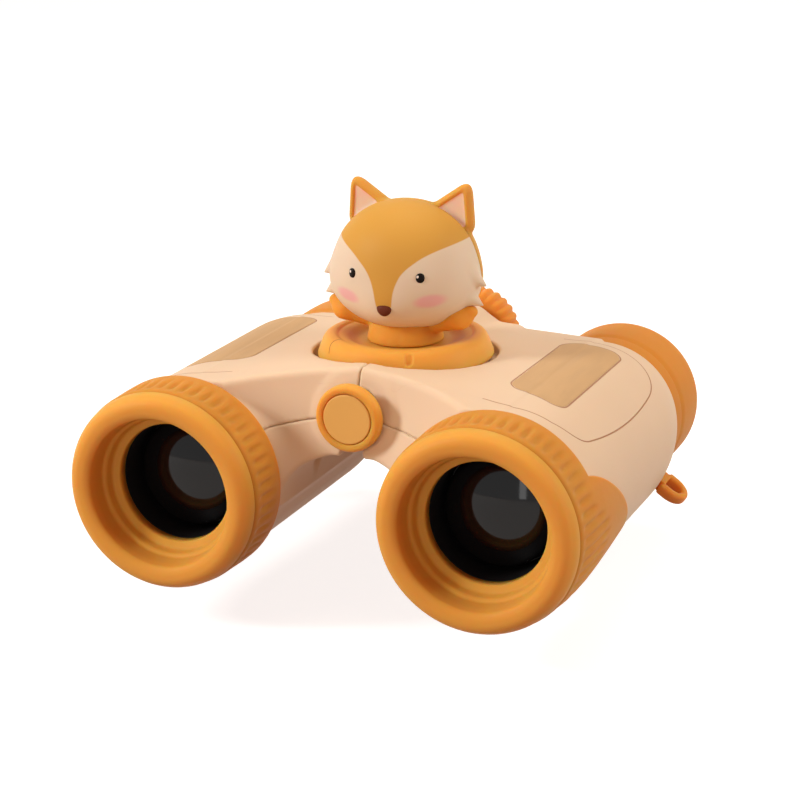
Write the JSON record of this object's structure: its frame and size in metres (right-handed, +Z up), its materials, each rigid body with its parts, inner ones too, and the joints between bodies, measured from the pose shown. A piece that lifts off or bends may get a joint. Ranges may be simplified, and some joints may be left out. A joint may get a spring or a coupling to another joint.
{
  "type": "toy binoculars",
  "caption": "Folding toy binoculars with fluted grip sleeves, a central focus wheel, strap lugs and a fox figure on a turntable over the hinge.",
  "frame": {"origin": "on the ground under the middle of the whole object's box, unfolded", "axes": "+Z up, objective lenses towards -Y, eyepieces towards +Y, +X to the right when seen from the front"},
  "size_m": [0.0988, 0.09, 0.0682],
  "materials": {
    "cream_plastic": "soft matte",
    "tan_plastic": "finely grained",
    "orange_plastic": "soft matte",
    "dark_orange_plastic": "soft matte",
    "orange_rubber": "soft matte",
    "fox_cream_plastic": "soft matte, painted face",
    "black_plastic": "satin",
    "lens_glass": "clear",
    "steel": "turned"
  },
  "bodies": {
    "hinge_core": {"hinge_axle": "steel", "hinge_cap_ring": "orange_plastic", "hinge_cap_disc": "orange_plastic", "turntable_post": "cream_plastic", "turntable_screw": "steel", "axle_nut": "dark_orange_plastic"},
    "left_half": {"left_upper_shell": "cream_plastic", "left_lower_shell": "cream_plastic", "left_thumb_pad": "tan_plastic", "left_objective_bezel": "orange_plastic", "left_grip_sleeve": "orange_rubber", "left_lens_tube": "black_plastic", "left_objective_lens": "lens_glass", "left_lens_retainer": "black_plastic", "left_eyecup": "orange_rubber", "left_eyepiece_tube": "black_plastic", "left_eye_lens": "lens_glass", "left_strap_lug": "dark_orange_plastic", "left_shell_screws": "steel"},
    "right_half": {"right_upper_shell": "cream_plastic", "right_lower_shell": "cream_plastic", "right_thumb_pad": "tan_plastic", "right_objective_bezel": "orange_plastic", "right_grip_sleeve": "orange_rubber", "right_lens_tube": "black_plastic", "right_objective_lens": "lens_glass", "right_lens_retainer": "black_plastic", "right_eyecup": "orange_rubber", "right_eyepiece_tube": "black_plastic", "right_eye_lens": "lens_glass", "right_strap_lug": "dark_orange_plastic", "right_shell_screws": "steel"},
    "focus_wheel": {"focus_wheel": "dark_orange_plastic", "focus_screw": "steel"},
    "focus_spool": {"focus_spool": "black_plastic"},
    "left_focus_cell": {"left_focus_cell": "black_plastic", "left_focus_lens": "lens_glass"},
    "right_focus_cell": {"right_focus_cell": "black_plastic", "right_focus_lens": "lens_glass"},
    "fox_turntable": {"turntable_dish": "orange_plastic", "fox_body": "orange_plastic", "fox_face": "fox_cream_plastic", "fox_head_back": "orange_plastic"}
  },
  "joints": [
    {"name": "right_fold", "type": "hinge", "parent": "hinge_core", "child": "right_half", "pos_m": [0, 0, 0.03125], "axis": [0, 1, 0], "range_deg": [0, 15]},
    {"name": "left_fold", "type": "hinge", "parent": "hinge_core", "child": "left_half", "pos_m": [0, 0, 0.03125], "axis": [0, -1, 0], "range_deg": [0, 15]},
    {"name": "wheel_turn", "type": "hinge", "parent": "hinge_core", "child": "focus_wheel", "pos_m": [0, 0, 0.03125], "axis": [0, 1, 0], "range_deg": [-180, 180]},
    {"name": "spool_slide", "type": "slide", "parent": "hinge_core", "child": "focus_spool", "axis": [0, 1, 0], "range_m": [-0.002, 0.002]},
    {"name": "right_cell_slide", "type": "slide", "parent": "right_half", "child": "right_focus_cell", "axis": [0, 1, 0], "range_m": [-0.002, 0.002]},
    {"name": "left_cell_slide", "type": "slide", "parent": "left_half", "child": "left_focus_cell", "axis": [0, 1, 0], "range_m": [-0.002, 0.002]},
    {"name": "fox_turn", "type": "hinge", "parent": "hinge_core", "child": "fox_turntable", "pos_m": [0, -0.0005, 0.0362], "axis": [0, 0, 1], "continuous": true}
  ],
  "couplings": [
    {"joint": "left_fold", "follows": "right_fold", "ratio": 1},
    {"joint": "spool_slide", "follows": "wheel_turn", "m_per_rad": 0.00063662},
    {"joint": "right_cell_slide", "follows": "wheel_turn", "m_per_rad": 0.00063662},
    {"joint": "left_cell_slide", "follows": "wheel_turn", "m_per_rad": 0.00063662}
  ]
}
